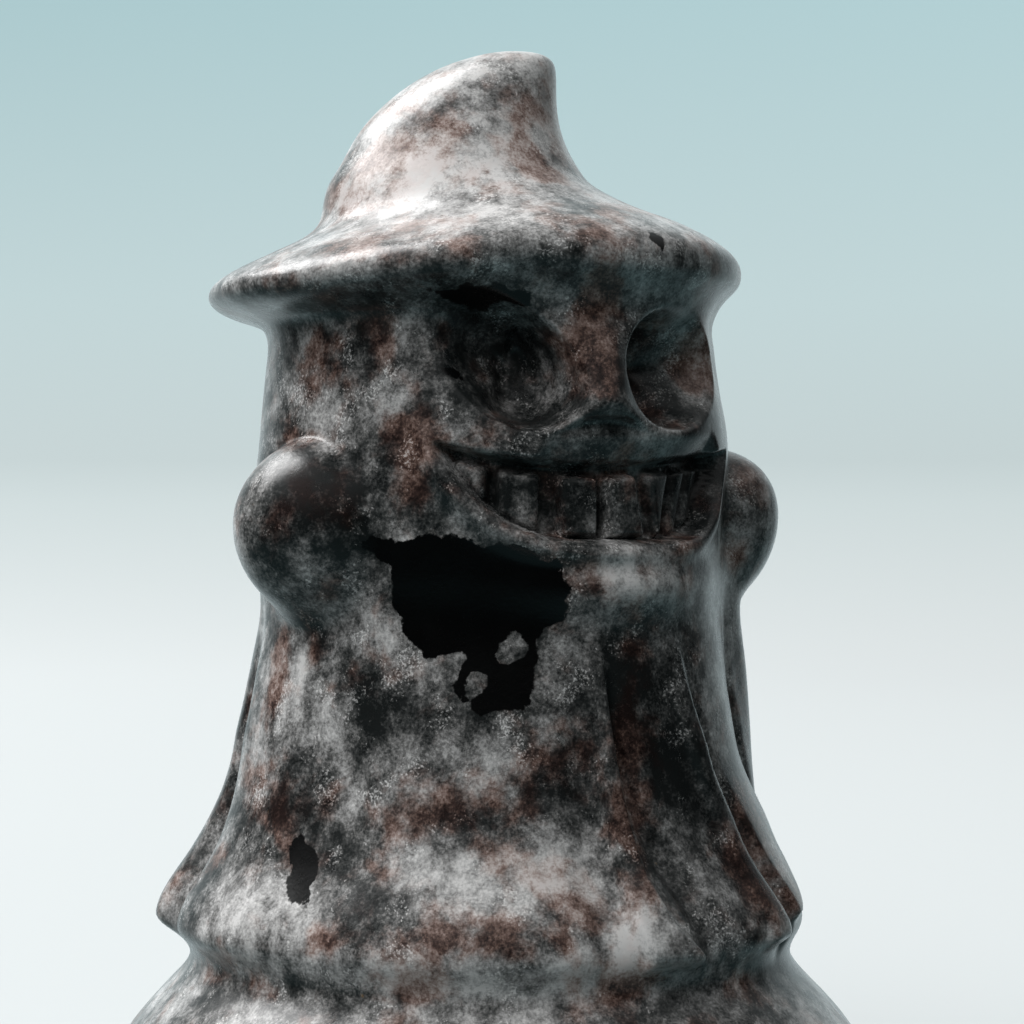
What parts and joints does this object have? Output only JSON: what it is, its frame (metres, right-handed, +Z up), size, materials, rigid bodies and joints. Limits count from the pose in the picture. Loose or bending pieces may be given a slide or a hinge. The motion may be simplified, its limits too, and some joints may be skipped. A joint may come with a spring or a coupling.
{
  "type": "carved stone skull figurine",
  "caption": "Small polished stone carving of a grinning skull face in a brimmed hat, on a folded robe and a low round base.",
  "frame": {"origin": "middle of the flat underside", "axes": "+Z up through the figure, -Y the way the face looks, +X to the right as one looks at the face"},
  "size_m": [0.0486, 0.0486, 0.0673],
  "materials": {
    "stone": "polished"
  },
  "bodies": {
    "root": {"stone_figure": "stone"}
  },
  "joints": []
}
